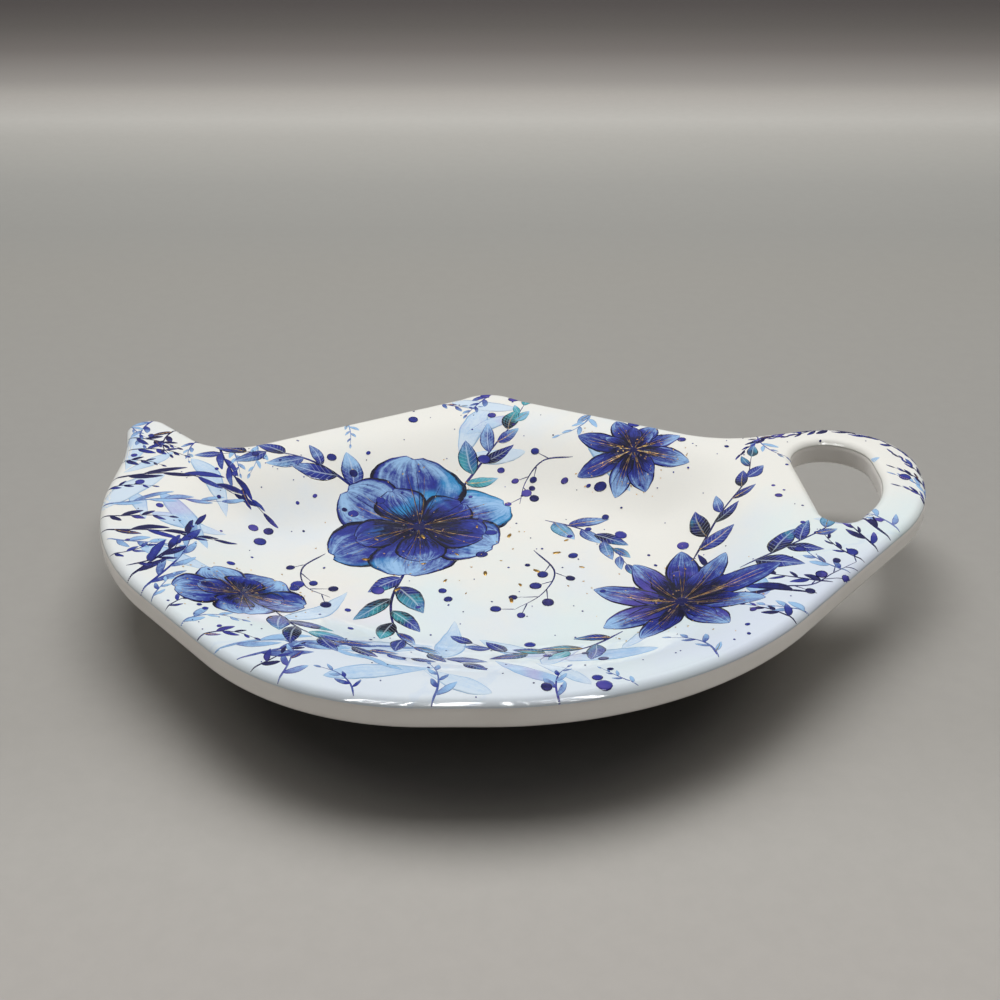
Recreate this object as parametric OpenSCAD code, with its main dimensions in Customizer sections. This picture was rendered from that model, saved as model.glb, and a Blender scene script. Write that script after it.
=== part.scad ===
// Tea bag rest: a shallow glazed dish with the outline of a teapot.
// +X points to the handle loop, +Y to the lid knob, +Z up. The foot stands on z = 0.

/* [Tray] */
// Length from the spout's tip to the handle
tray_l = 132; // [118:1:150]
// Depth from the base edge to the lid knob
tray_w = 89; // [82:1:100]
// Height from the table to the top of the rim
tray_h = 15.6; // [14:0.1:18]

/* [Rim] */
// Thickness of the rim all round, and of the handle loop
rim_t = 4.4; // [4:0.1:5]
// Level border between the edge and the slope of the well
rim_flat = 2.4; // [1.8:0.1:4]
// Rounding of the rim's upper edge
rim_top_r = 1.6; // [1:0.1:2]
// Rounding of the rim's lower edge
rim_under_r = 1.4; // [0.8:0.1:1.9]

/* [Well] */
// Depth of the well's floor under the rim
well_depth = 6.2; // [5:0.1:7]
// Run of the slope from the level border to the floor
slope_run = 21; // [16:0.5:22]
// Thickness of the clay and its coats under the floor
floor_t = 5; // [4.4:0.1:6]
// Run of the slope on the underside
under_run = 16; // [13:0.5:17]

/* [Handle loop] */
// Length of the finger hole along the loop
hole_l = 25.2; // [21:0.2:26]
// Width of the finger hole
hole_w = 13; // [9:0.2:13.6]

/* [Foot] */
// Length of the foot ring
foot_l = 66; // [54:1:68]
// Width of the foot ring
foot_w = 42; // [34:1:44]
// Thickness of the ring's wall
foot_wall = 4; // [3:0.1:6]
// Rounding of the ring's lower edges
foot_r = 1; // [0.5:0.1:1.4]

/* [Coats] */
// Thickness of the glaze
glaze_t = 0.25; // [0.2:0.01:0.4]
// Thickness of the printed enamel
print_t = 0.1; // [0.08:0.01:0.15]
// Longest size of a gold fleck
fleck_l = 1.2; // [0.6:0.1:1.6]
// Thickness of a gold fleck
fleck_t = 0.1; // [0.08:0.01:0.15]
// Number of gold flecks
fleck_count = 24; // [6:1:40]

/* [Hidden] */

// Each outline is a closed path that runs anticlockwise round a chain of circles and along
// the straight lines that touch each pair. A row is [x, y, radius, turn] in shares of the
// tray's length. Turn 1 bulges outwards, and turn -1 is a hollow.
tray_shares = [
    [0.277, 0.352, 0.141, -1],
    [0.035, 0.355, 0.042, -1],
    [-0.032, 0.286, 0.053, 1],
    [-0.096, 0.357, 0.042, -1],
    [-0.354, 0.260, 0.075, -1],
    [-0.472, 0.232, 0.028, 1],
    [-0.727, 0.145, 0.240, -1],
    [-0.147, 0.084, 0.341, 1],
    [-0.091, -0.036, 0.302, 1],
    [-0.030, 0.102, 0.440, 1],
    [0.280, 0.124, 0.219, 1],
    [0.400, 0.134, 0.100, 1]
];
belly_shares = [
    [0.182, 0.068, 0.152, 1],
    [-0.030, 0.197, 0.106, 1],
    [-0.311, 0.049, 0.136, 1],
    [-0.159, 0.008, 0.288, 1],
    [-0.045, -0.038, 0.299, 1],
    [0.045, -0.030, 0.303, 1]
];
hole_shares = [
    [0.316, 0.111, 0.129, 1],
    [0.397, 0.143, 0.047, 1],
    [0.382, 0.024, 0.023, 1]
];
hole_at_share = [0.395, 0.096];
well_at_share = [-0.038, -0.015];
// Half axes of the level floor, in shares of the tray's length and depth
floor_shares = [0.197, 0.157];
// Ends of the handle's strap, in shares of the way round the finger hole
strap_shares = [-0.09, 0.46];
// Field of the gold flecks, in shares of the level floor
fleck_field_share = 0.8;
// Width of a fleck, in shares of its length
fleck_width_share = 0.55;

// Coarsest turn along a circle in degrees, and longest step in shares of the tray's length
arc_step = 18;
step_share = 0.062;
// Steps round each rounded edge, and those of the upper edge that the print wraps over
edge_steps = 3;
wrap_steps = 1;
// Rings down the well and down the underside
face_rings = 10;
under_rings = 7;
// The last circles of the tray's outline, which shape the handle, and the points before them
// where its strap starts
strap_circles = 2;
strap_lead = 1;
// Steps down the dish's side of the finger hole
hole_steps = 8;
// Bearing of the first spoke from the well's middle
spoke_start = 52;
// Turn from one gold fleck to the next in degrees, and the sides of a fleck
fleck_turn = 137.5;
fleck_sides = 5;

glaze_z = tray_h - print_t;
lip_z = glaze_z - rim_t;
floor_z = glaze_z - well_depth;
sole_z = floor_z - floor_t;

function joined(lists) = [for (list = lists) each list];
function backwards(list) = [for (i = [len(list) - 1:-1:0]) list[i]];
function part_of(list, first, last) = [for (i = [first:1:last]) list[i]];
function next(list, i) = list[(i + 1) % len(list)];
function before(list, i) = list[(i + len(list) - 1) % len(list)];
function unit(v) = v / norm(v);
function blend(a, b, share) = a + (b - a) * share;
function stretched(p, by) = [p[0] * by[0], p[1] * by[1]];
function cross_z(a, b) = a[0] * b[1] - a[1] * b[0];
function lowest(points) = [for (k = [0, 1]) min([for (p = points) p[k]])];
function highest(points) = [for (k = [0, 1]) max([for (p = points) p[k]])];
function span(points) = highest(points) - lowest(points);
function middle(points) = (highest(points) + lowest(points)) / 2;

// Direction of the line that touches two circles of a chain, each on its own side
function touch_bearing(a, b) =
    let (
        gap = [b[0] - a[0], b[1] - a[1]],
        lean = b[2] * b[3] - a[2] * a[3]
    )
    atan2(gap[1], gap[0]) - atan2(lean, sqrt(gap * gap - lean * lean));

function chain_arc(rows, i) =
    let (
        row = rows[i],
        turn = row[3],
        start = touch_bearing(before(rows, i), row),
        end = touch_bearing(row, next(rows, i)),
        sweep = turn * ((turn * (end - start) % 360 + 360) % 360),
        steps = ceil(abs(sweep) * max(1 / arc_step, PI * row[2] / 180 / step_share))
    )
    [
        for (k = [0:steps])
            let (bearing = start + sweep * k / steps)
            [row[0] + turn * row[2] * sin(bearing), row[1] - turn * row[2] * cos(bearing)]
    ];

// A list of points for each circle: its arc, and the line to the next one
function chain(rows) =
    let (arcs = [for (i = [0:len(rows) - 1]) chain_arc(rows, i)])
    [
        for (i = [0:len(rows) - 1])
            let (
                last = arcs[i][len(arcs[i]) - 1],
                line = next(arcs, i)[0] - last,
                parts = max(1, round(norm(line) / step_share))
            )
            concat(arcs[i], [for (k = [1:1:parts - 1]) last + line * k / parts])
    ];

// How far each point lies along its path, in shares of the path
function reaches(points) =
    let (walked = [
        for (i = 0, far = 0; i < len(points); far = far + norm(next(points, i) - points[i]), i = i + 1) far
    ])
    walked / (walked[len(points) - 1] + norm(points[0] - points[len(points) - 1]));
function open_reaches(points) =
    let (closed = reaches(points))
    closed / closed[len(points) - 1];
function along(ring, starts, share) =
    let (
        far = share - floor(share),
        i = max([for (k = [0:len(ring) - 1]) if (starts[k] <= far) k]),
        end = i == len(ring) - 1 ? 1 : starts[i + 1]
    )
    blend(ring[i], next(ring, i), (far - starts[i]) / (end - starts[i]));

// The tray's outline is fitted to its length and depth, and the rest keeps its place in it
tray_chain = chain(tray_shares);
unit_tray = joined(tray_chain);
tray_scale = [tray_l / span(unit_tray)[0], tray_w / span(unit_tray)[1]];
function placed(p) = stretched(p - middle(unit_tray), tray_scale);
outline = [for (p = unit_tray) placed(p)];
belly = [for (p = joined(chain(belly_shares))) placed(p)];
well_at = placed(well_at_share);

// The strap of the handle has a point of the finger hole for each point of its outer edge
count = len(outline);
strap_first = len(joined(part_of(tray_chain, 0, len(tray_chain) - strap_circles - 1))) - strap_lead;
strap_count = count - strap_first;
unit_hole = joined(chain(hole_shares));
hole_scale = [hole_w / span(unit_hole)[0], hole_l / span(unit_hole)[1]];
hole_path = [for (p = unit_hole) placed(hole_at_share) + stretched(p - middle(unit_hole), hole_scale)];
hole_starts = reaches(hole_path);
strap_ways = [
    for (share = open_reaches(part_of(outline, strap_first, count - 1)))
        blend(strap_shares[0], strap_shares[1], share)
];
dish_ways = [for (k = [1:hole_steps - 1]) blend(strap_shares[1], strap_shares[0] + 1, k / hole_steps)];
hole = [for (way = concat(strap_ways, dish_ways)) along(hole_path, hole_starts, way)];

// The dish's own edge runs round the outline as far as the strap, then up its side of the hole
function dish_edge(outer, inner) = concat(
    [outer[count - 1]],
    part_of(outer, 0, strap_first),
    [inner[0]],
    backwards(part_of(inner, strap_count - 1, len(hole) - 1))
);
dish_starts = reaches(dish_edge(outline, hole));
dish_count = len(dish_starts);

// How far a point lies inside the belly's edge, which leaves out the spout, knob and handle
function near_line(p, a, b) =
    let (way = b - a)
    norm(p - blend(a, b, max(0, min(1, (p - a) * way / (way * way)))));
function crossings(p, ring) = [
    for (i = [0:len(ring) - 1])
        let (a = ring[i], b = next(ring, i))
        if ((a[1] > p[1]) != (b[1] > p[1]) && cross_z(b - a, p - a) * (b[1] - a[1]) > 0) i
];
function depth_in(p, ring) =
    (len(crossings(p, ring)) % 2 == 1 ? 1 : -1)
    * min([for (i = [0:len(ring) - 1]) near_line(p, ring[i], next(ring, i))]);

function eased(share) = let (s = max(0, min(1, share))) s * s * (3 - 2 * s);
function slope_share(p, run) = eased((depth_in(p, belly) - rim_flat) / run);

// Spokes run inwards from the dish's edge to an oval, which they divide evenly
function oval(half) = [
    for (share = dish_starts)
        let (bearing = spoke_start + 360 * share)
        well_at + stretched([cos(bearing), sin(bearing)], half)
];
function inset(ring, by) = [
    for (i = [0:len(ring) - 1])
        let (way = unit(next(ring, i) - before(ring, i)))
        ring[i] + [-way[1], way[0]] * by
];
function rings_to(half, edge_r, steps) =
    let (outer = dish_edge(inset(outline, edge_r), inset(hole, -edge_r)), inner = oval(half))
    [for (k = [1:steps]) [for (i = [0:dish_count - 1]) blend(outer[i], inner[i], k / steps)]];

face_plan = rings_to(stretched(floor_shares, [tray_l, tray_w]), rim_top_r, face_rings);
under_plan = rings_to([foot_l, foot_w] / 2, rim_under_r, under_rings);
face_drops = [
    for (k = [1:face_rings])
        [for (p = face_plan[k - 1]) k == face_rings ? 1 : slope_share(p, slope_run)]
];
under_drops = [
    for (k = [1:under_rings])
        [for (p = under_plan[k - 1]) k == under_rings ? 1 : slope_share(p, under_run)]
];

// Points of the whole skin at a depth below the glaze's surface, from the sole out round the
// edge and in to the floor. The clay and the coats are the same skin at other depths.
function level(ring, z) = [for (p = ring) [p[0], p[1], z]];
function sloped(ring, drops, top_z, end_z) = [
    for (i = [0:len(ring) - 1]) [ring[i][0], ring[i][1], blend(top_z, end_z, drops[i])]
];
function edge_rings(ring, side, depth) = concat(
    [
        for (j = [0:edge_steps])
            let (a = 90 * (1 - j / edge_steps), r = rim_under_r - depth)
            level(inset(ring, side * (depth + r * (1 - cos(a)))), lip_z + depth + r * (1 - sin(a)))
    ],
    [
        for (j = [0:edge_steps])
            let (a = 90 * (1 - j / edge_steps), r = rim_top_r - depth)
            level(inset(ring, side * (depth + r * (1 - sin(a)))), glaze_z - depth - r * (1 - cos(a)))
    ]
);
function skin_points(depth) = joined(concat(
    [
        for (k = [under_rings - 1:-1:0])
            sloped(under_plan[k], under_drops[k], lip_z + depth, sole_z + depth)
    ],
    edge_rings(outline, 1, depth),
    edge_rings(hole, -1, depth),
    [
        for (k = [0:face_rings - 1])
            sloped(face_plan[k], face_drops[k], glaze_z - depth, floor_z - depth)
    ]
));

// Rows of the skin's points, by their places in its list
edge_count = 2 * (edge_steps + 1);
last_edge = edge_count - 1;
edge_base = under_rings * dish_count;
hole_base = edge_base + edge_count * count;
face_base = hole_base + edge_count * len(hole);
skin_size = face_base + face_rings * dish_count;
function row(base, size, k) = [for (i = [0:size - 1]) base + size * k + i];
function edge_row(k) = row(edge_base, count, k);
function hole_row(k) = row(hole_base, len(hole), k);
function dish_row(k) = dish_edge(edge_row(k), hole_row(k));
function under_row(k) = row(0, dish_count, under_rings - k);
function face_row(k) = row(face_base, dish_count, k - 1);

// Two triangles for each place between one row of points and the next
function rung(a, b, c, d) = [[a, b, c], [a, c, d]];
function open_band(a, b) = joined([for (i = [0:len(a) - 2]) rung(a[i], b[i], b[i + 1], a[i + 1])]);
function band(a, b) = joined([for (i = [0:len(a) - 1]) rung(a[i], b[i], next(b, i), next(a, i))]);
function bands(rows) = joined([for (k = [0:len(rows) - 2]) band(rows[k], rows[k + 1])]);

function sole_faces() = concat(
    bands(concat([for (k = [under_rings:-1:1]) under_row(k)], [dish_row(0)])),
    open_band(part_of(hole_row(0), 0, strap_count - 1), part_of(edge_row(0), strap_first, count - 1))
);
function edge_faces(first) = concat(
    bands([for (k = [first:last_edge]) edge_row(k)]),
    bands([for (k = [last_edge:-1:first]) hole_row(k)])
);
function top_faces() = concat(
    bands(concat([dish_row(last_edge)], [for (k = [1:face_rings]) face_row(k)])),
    open_band(
        part_of(edge_row(last_edge), strap_first, count - 1),
        part_of(hole_row(last_edge), 0, strap_count - 1)
    ),
    [backwards(face_row(face_rings))]
);
function shifted(faces) = [for (face = faces) [for (v = face) v + skin_size]];
function turned(faces) = [for (face = faces) backwards(face)];
function seam(row) = band(shifted([row])[0], row);

// Pressed tray of fired clay with its spout, knob and handle in one
module clay_body() {
    color("linen")
        polyhedron(
            skin_points(glaze_t),
            concat([under_row(under_rings)], sole_faces(), edge_faces(0), top_faces())
        );
}

// Bare ring that the dish stands on, rounded where it meets the table
module foot_ring() {
    top_z = sole_z + glaze_t;
    rounds = [for (j = [0:edge_steps]) 90 * j / edge_steps];
    profile = concat(
        [[foot_wall, top_z]],
        [for (a = rounds) [foot_wall - foot_r * (1 - cos(a)), foot_r * (1 - sin(a))]],
        [for (a = backwards(rounds)) [foot_r * (1 - cos(a)), foot_r * (1 - sin(a))]],
        [[0, top_z]]
    );
    rings = [for (step = profile) level(oval([foot_l, foot_w] / 2 - [step[0], step[0]]), step[1])];
    color("wheat")
        polyhedron(joined(rings), bands([for (k = [0:len(rings)]) row(0, dish_count, k % len(rings))]));
}

// Glass coat over the whole tray, open under the foot ring
module glaze_coat() {
    walls = concat(sole_faces(), edge_faces(0), top_faces());
    color("white") {
        polyhedron(
            concat(skin_points(0), skin_points(glaze_t)),
            concat(walls, turned(shifted(walls)), seam(under_row(under_rings)))
        );
        translate([0, 0, sole_z])
            linear_extrude(glaze_t)
                polygon(oval([foot_l, foot_w] / 2 - [foot_wall, foot_wall]));
    }
}

// Enamel print over the face, which wraps a little way round the edges
module face_print() {
    first = last_edge - wrap_steps;
    walls = concat(edge_faces(first), top_faces());
    color("cornflowerblue")
        polyhedron(
            concat(skin_points(-print_t), skin_points(0)),
            concat(
                walls,
                turned(shifted(walls)),
                seam(edge_row(first)),
                seam(backwards(hole_row(first)))
            )
        );
}

// Flecks of gold fired onto the print of the well's floor
module gold_flecks() {
    field = stretched(floor_shares, [tray_l, tray_w]) * fleck_field_share;
    color("gold")
        for (i = [0:fleck_count - 1]) {
            reach = sqrt((i + 0.5) / fleck_count);
            at = well_at + stretched([cos(i * fleck_turn), sin(i * fleck_turn)], field * reach);
            size = fleck_l * (i % 3 + 1) / 3;
            translate([at[0], at[1], floor_z + print_t])
                rotate(i * fleck_turn)
                    linear_extrude(fleck_t)
                        polygon([
                            for (k = [0:fleck_sides - 1])
                                let (a = 360 * k / fleck_sides)
                                [cos(a), fleck_width_share * sin(a)] * size / 2
                        ]);
        }
}

clay_body();
foot_ring();
glaze_coat();
face_print();
gold_flecks();
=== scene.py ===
import math

import bpy
import numpy as np
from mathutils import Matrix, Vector


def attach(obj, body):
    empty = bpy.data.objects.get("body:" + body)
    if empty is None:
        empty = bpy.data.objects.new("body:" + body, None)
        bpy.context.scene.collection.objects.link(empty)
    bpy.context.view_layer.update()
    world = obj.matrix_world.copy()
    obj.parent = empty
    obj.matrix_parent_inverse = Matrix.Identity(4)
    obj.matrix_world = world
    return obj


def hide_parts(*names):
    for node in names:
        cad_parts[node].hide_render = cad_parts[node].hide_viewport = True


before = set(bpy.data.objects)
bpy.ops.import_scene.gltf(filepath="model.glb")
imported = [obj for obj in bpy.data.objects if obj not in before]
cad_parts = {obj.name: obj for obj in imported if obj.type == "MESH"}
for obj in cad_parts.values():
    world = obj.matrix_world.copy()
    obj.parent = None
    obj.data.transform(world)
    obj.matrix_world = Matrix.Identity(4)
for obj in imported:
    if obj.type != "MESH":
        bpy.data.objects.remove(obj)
for spare in ("Cube", "Light", "Camera"):  # what an empty Blender file starts with
    if spare in bpy.data.objects:
        bpy.data.objects.remove(bpy.data.objects[spare])
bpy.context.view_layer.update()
mm = 0.001

# The dish's lines, in millimetres from the middle of its outline
dish = {
    "length": 132, "depth": 89, "height": 15.6, "rim": 4.4, "border": 2.4,
    "topRound": 1.6, "underRound": 1.4, "well": 6.2, "slope": 21, "floor": 5, "underSlope": 16, "enamel": 0.1,
    "holeLength": 25.2, "holeWidth": 13,
    "foot": (33, 21), "footWall": 4, "footRound": 1, "footSunk": 0.25,  # sunk into the sole
    "wellAt": (-0.038, -0.015), "holeAt": (0.395, 0.096), "levelFloor": (26.0, 13.97),
    "strap": (-0.09, 0.46),  # the handle's share of the way round the finger hole
    "pointGap": 0.5,  # along the edge
    "faceRings": 70, "underRings": 26,
    "middleRings": 8,  # across the level floor
    "roundSteps": 8,
    "rootSteps": 14,  # across each root of the handle
    "rounds": 360,  # of evening out the rings
    "spokeStart": 52,
}

# Circles that the edge rolls round: x, y and radius in shares of the length. A hollow has a radius below 0.
edgeCircles = [
    (0.277, 0.352, -0.141), (0.035, 0.355, -0.042), (-0.032, 0.286, 0.053), (-0.096, 0.357, -0.042),
    (-0.354, 0.260, -0.075), (-0.472, 0.232, 0.028), (-0.727, 0.145, -0.240), (-0.147, 0.084, 0.341),
    (-0.091, -0.036, 0.302), (-0.030, 0.102, 0.440), (0.280, 0.124, 0.219), (0.400, 0.134, 0.100),
]
bellyCircles = [
    (0.182, 0.068, 0.152), (-0.030, 0.197, 0.106), (-0.311, 0.049, 0.136),
    (-0.159, 0.008, 0.288), (-0.045, -0.038, 0.299), (0.045, -0.030, 0.303),
]
holeCircles = [(0.316, 0.111, 0.129), (0.397, 0.143, 0.047), (0.382, 0.024, 0.023)]


def touchBearing(a, b):
    across, up, lean = (end - start for start, end in zip(a, b))
    return math.atan2(up, across) - math.atan2(lean, math.sqrt(across**2 + up**2 - lean**2))


# One array of points for each circle: its arc, then the straight line to the next.
def rolledEdge(circles, turnStep=0.03):
    arcs = []
    for i, (x, y, radius) in enumerate(circles):
        side = math.copysign(1, radius)
        start = touchBearing(circles[i - 1], circles[i])
        end = touchBearing(circles[i], circles[(i + 1) % len(circles)])
        sweep = side * ((side * (end - start)) % (2 * math.pi))
        bearing = start + sweep * np.linspace(0, 1, 2 + int(abs(sweep) / turnStep))
        arcs.append(np.c_[x + radius * np.sin(bearing), y - radius * np.cos(bearing)])
    return [np.vstack([arc, arcs[(i + 1) % len(arcs)][:1]]) for i, arc in enumerate(arcs)]


# Points a gap apart along a path. On a closed path the last one is left out.
def evenly(path, gap, closed=False):
    steps = np.linalg.norm(np.diff(path, axis=0), axis=1)
    path = path[np.r_[True, steps > 1e-9]]
    walked = np.r_[0, np.cumsum(steps[steps > 1e-9])]
    count = max(2, round(walked[-1] / gap))
    at = np.linspace(0, walked[-1], count + 1)
    points = np.c_[np.interp(at, walked, path[:, 0]), np.interp(at, walked, path[:, 1])]
    return points[:-1] if closed else points


rolled = rolledEdge(edgeCircles)
wholeEdge = np.vstack(rolled)
unitMiddle = (wholeEdge.max(0) + wholeEdge.min(0)) / 2
unitScale = np.array([dish["length"], dish["depth"]]) / np.ptp(wholeEdge, axis=0)


def placed(points):
    return (np.array(points) - unitMiddle) * unitScale


strapCircles = 2  # the last circles of the edge shape the handle
bodyEdge = evenly(placed(np.vstack(rolled[:-strapCircles])), dish["pointGap"])
strapEdge = evenly(placed(np.vstack(rolled[-strapCircles:])), dish["pointGap"])
outline = np.vstack([bodyEdge, strapEdge[1:-1]])
strapFirst = len(bodyEdge) - 1
belly = evenly(placed(np.vstack(rolledEdge(bellyCircles))), 1.0, True)
wellAt = placed(dish["wellAt"])

unitHole = np.vstack(rolledEdge(holeCircles))
holePath = (unitHole - (unitHole.max(0) + unitHole.min(0)) / 2) / np.ptp(unitHole, axis=0)
holePath = holePath * [dish["holeWidth"], dish["holeLength"]] + placed(dish["holeAt"])
holeRound = evenly(holePath, 0.05, True)


def roundHole(share):
    return holeRound[(np.round(np.asarray(share) * len(holeRound)).astype(int)) % len(holeRound)]


strapCount = len(outline) - strapFirst
strapShares = np.linspace(dish["strap"][0], dish["strap"][1], strapCount)
dishShares = np.linspace(dish["strap"][1], dish["strap"][0] + 1, 62)[1:-1]
hole = roundHole(np.r_[strapShares, dishShares])


# The dish's own edge: the outline as far as the handle, the roots, and its side of the hole.
def dishEdge(outer, inner, roots):
    near, far = outer[: strapFirst + 1], inner[: strapCount - 2 : -1]
    return np.concatenate([outer[-1:], near, roots[0], inner[:1], far, roots[1]])


# Asks something of many points, some thousands at a time.
def inParts(points, ask):
    return np.concatenate([ask(part) for part in np.array_split(points, max(1, len(points) // 3000))])


# Distance from each point to a closed ring of lines.
def nearLine(points, ring):
    way = np.roll(ring, -1, 0) - ring

    def nearest(part):
        gap = part[:, None] - ring
        share = np.clip((gap * way).sum(2) / (way**2).sum(1), 0, 1)
        return np.sqrt(((gap - share[..., None] * way) ** 2).sum(2).min(1))

    return inParts(points, nearest)


def isInside(points, ring):
    (x1, y1), (x2, y2) = ring.T, np.roll(ring, -1, 0).T
    rise = np.where(y2 == y1, 1, y2 - y1)

    def crossed(part):
        x, y = part[:, :1], part[:, 1:]
        return (((y1 > y) != (y2 > y)) & (x < x1 + (y - y1) / rise * (x2 - x1))).sum(1) % 2 == 1

    return inParts(points, crossed)


# 0 on the level border, 1 on the well's floor.
def slopeShare(points, run):
    depth = np.where(isInside(points, belly), 1, -1) * nearLine(points, belly)
    share = np.clip((depth - dish["border"]) / run, 0, 1)
    return share * share * (3 - 2 * share)


def inset(ring, by):
    way = np.roll(ring, -1, 0) - np.roll(ring, 1, 0)
    way /= np.linalg.norm(way, axis=1)[:, None]
    return ring + np.c_[-way[:, 1], way[:, 0]] * by


def between(a, b):
    return a + (b - a) * np.arange(1, dish["rootSteps"])[:, None] / dish["rootSteps"]


def rootsFor(edgeRound):
    outer, inner = inset(outline, edgeRound), inset(hole, -edgeRound)
    return between(outer[strapFirst], inner[0]), between(inner[strapCount - 1], outer[-1])


edgeLoop = dishEdge(outline, hole, rootsFor(0))
walked = np.cumsum(np.linalg.norm(np.roll(edgeLoop, -1, 0) - edgeLoop, axis=1))
spokes = np.radians(dish["spokeStart"]) + 2 * np.pi * np.r_[0, walked[:-1]] / walked[-1]


def oval(half):
    return wellAt + np.c_[np.cos(spokes), np.sin(spokes)] * half


# Evens out a net of rings between its first and last, so that it doesn't fold by the hole.
def evenedOut(net, ease=0.8):
    for _ in range(dish["rounds"]):
        ahead, back = np.roll(net, -1, 1), np.roll(net, 1, 1)
        along, across = (ahead - back)[1:-1] / 2, (net[2:] - net[:-2]) / 2
        a, c = ((way**2).sum(2, keepdims=True) for way in (across, along))
        b = (along * across).sum(2, keepdims=True)
        twist = (ahead[2:] - back[2:] - ahead[:-2] + back[:-2]) / 4
        wanted = (a * (ahead + back)[1:-1] + c * (net[2:] + net[:-2]) - 2 * b * twist) / (2 * (a + c))
        net[1:-1] += ease * (wanted - net[1:-1])
    return net


# Rings of plan points from the rounded edge to an oval, and on to the middle.
def ringsTo(half, edgeRound, steps):
    outer = dishEdge(inset(outline, edgeRound), inset(hole, -edgeRound), rootsFor(edgeRound))
    inner = oval(np.array(half))
    rings = evenedOut(np.array([outer + (inner - outer) * k / steps for k in range(steps + 1)]))
    middle = dish["middleRings"]
    return list(rings[1:]) + [wellAt + (inner - wellAt) * (1 - k / middle) for k in range(1, middle)]


# A fine grid of plan places, in millimetres
field = {"corner": (-70, -48), "step": 0.5, "wear": 1.5}


# How far down the slope each place of the grid lies, worn smooth.
def slopeField(run):
    across, up = (np.arange(low, -low + field["step"], field["step"]) for low in field["corner"])
    plan = np.stack(np.meshgrid(across, up, indexing="ij"), -1)
    drops = slopeShare(plan.reshape(-1, 2), run).reshape(len(across), len(up))
    reach = np.arange(-4 * field["wear"], 4 * field["wear"] + field["step"], field["step"])
    weight = np.exp(-0.5 * (reach / field["wear"]) ** 2)
    for axis in (0, 1):
        drops = np.apply_along_axis(np.convolve, axis, drops, weight / weight.sum(), "same")
    return drops


def cubicWeights(t):
    return np.stack([2 * t**2 - t - t**3, 2 - 5 * t**2 + 3 * t**3, t + 4 * t**2 - 3 * t**3, t**3 - t**2]) / 2


def dropsAt(drops, plan):
    at = (plan - field["corner"]) / field["step"]
    low = np.floor(at).astype(int)
    across, up = (cubicWeights(share) for share in (at - low).T)
    x, y = low.T - 1
    return sum(across[i] * up[j] * drops[x + i, y + j] for i in range(4) for j in range(4))


topPlan = ringsTo(dish["levelFloor"], dish["topRound"], dish["faceRings"])
underPlan = ringsTo(dish["foot"], dish["underRound"], dish["underRings"])
topField, underField = slopeField(dish["slope"]), slopeField(dish["underSlope"])
topDrops = [dropsAt(topField, plan) for plan in topPlan]
underDrops = [dropsAt(underField, plan) for plan in underPlan]
glazeTop = dish["height"] - dish["enamel"]
lipTop = glazeTop - dish["rim"]
floorTop = glazeTop - dish["well"]
sole = floorTop - dish["floor"]
print("lines drawn:", len(outline), "points round the edge")


# A closed surface, gathered as rows of points and bands of faces between them.
class Skin:
    def __init__(self):
        self.points, self.faces, self.count = [], [], 0

    def row(self, plan, z):
        plan = np.asarray(plan)
        self.points.append(np.c_[plan, np.broadcast_to(z, len(plan))])
        self.count += len(plan)
        return np.arange(self.count - len(plan), self.count)

    def band(self, a, b, closed=True):
        faces = np.c_[a, np.roll(a, -1), np.roll(b, -1), b]
        self.faces.append(faces if closed else faces[:-1])

    def bands(self, rows):
        for a, b in zip(rows, rows[1:]):
            self.band(a, b)

    # A fan to one middle point.
    def cap(self, row, plan, z):
        centre = self.row([plan], z)[0]
        self.faces.append(np.c_[row, np.roll(row, -1), np.full(len(row), centre)])

    # Turns the faces made so far to look the other way.
    def turnOver(self):
        self.faces = [part[:, ::-1] for part in self.faces]

    def mesh(self, name):
        made = bpy.data.meshes.new(name)
        faces = [f for part in self.faces for f in part.tolist()]
        made.from_pydata((np.vstack(self.points) * mm).tolist(), [], faces)
        made.shade_smooth()
        return made


def newObject(name, data):
    made = bpy.data.objects.new(name, data)
    bpy.context.scene.collection.objects.link(made)
    return made


def addPiece(name, mesh):
    piece = newObject(name, mesh)
    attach(piece, "root")
    return piece


# Rows round one rounded edge, at angles from its side wall (90) to its flat (0).
def edgeRows(skin, ring, side, depth, turns, top):
    radius = (dish["topRound"] if top else dish["underRound"]) - depth
    rows = []
    for turn in np.radians(turns):
        level = radius * (1 - math.cos(turn)) + depth
        plan = inset(ring, side * (depth + radius * (1 - math.sin(turn))))
        rows.append(skin.row(plan, glazeTop - level if top else lipTop + level))
    return rows


# One side, from its edges to the rings inside, and the handle's own strip. Faces look up.
def closeSide(skin, outer, inner, rings, edgeRound, level, drops, fall):
    roots = [skin.row(plan, level - fall * dropsAt(drops, plan)) for plan in rootsFor(edgeRound)]
    skin.bands([dishEdge(outer, inner, roots)] + rings)
    a, b = outer[strapFirst:], inner[:strapCount]
    skin.band(a[1:-1], b[1:-1], False)
    skin.faces.append(np.array([[a[0], a[1], b[1], b[0], *roots[0][::-1]]]))
    skin.faces.append(np.array([[a[-2], a[-1], *roots[1][::-1], b[-1], b[-2]]]))


# The bands round the edges and the whole upper side, at a depth below the top of the glaze.
def upperSide(skin, outer, inner, depth, each=1):
    skin.bands(outer)
    skin.bands(inner[::-1])
    level, fall = glazeTop - depth, dish["well"]
    rings = [skin.row(plan, level - fall * drops) for plan, drops in zip(topPlan[::each], topDrops[::each])]
    closeSide(skin, outer[-1], inner[-1], rings, dish["topRound"], level, topField, fall)
    skin.cap(rings[-1], wellAt, floorTop - depth)


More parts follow.
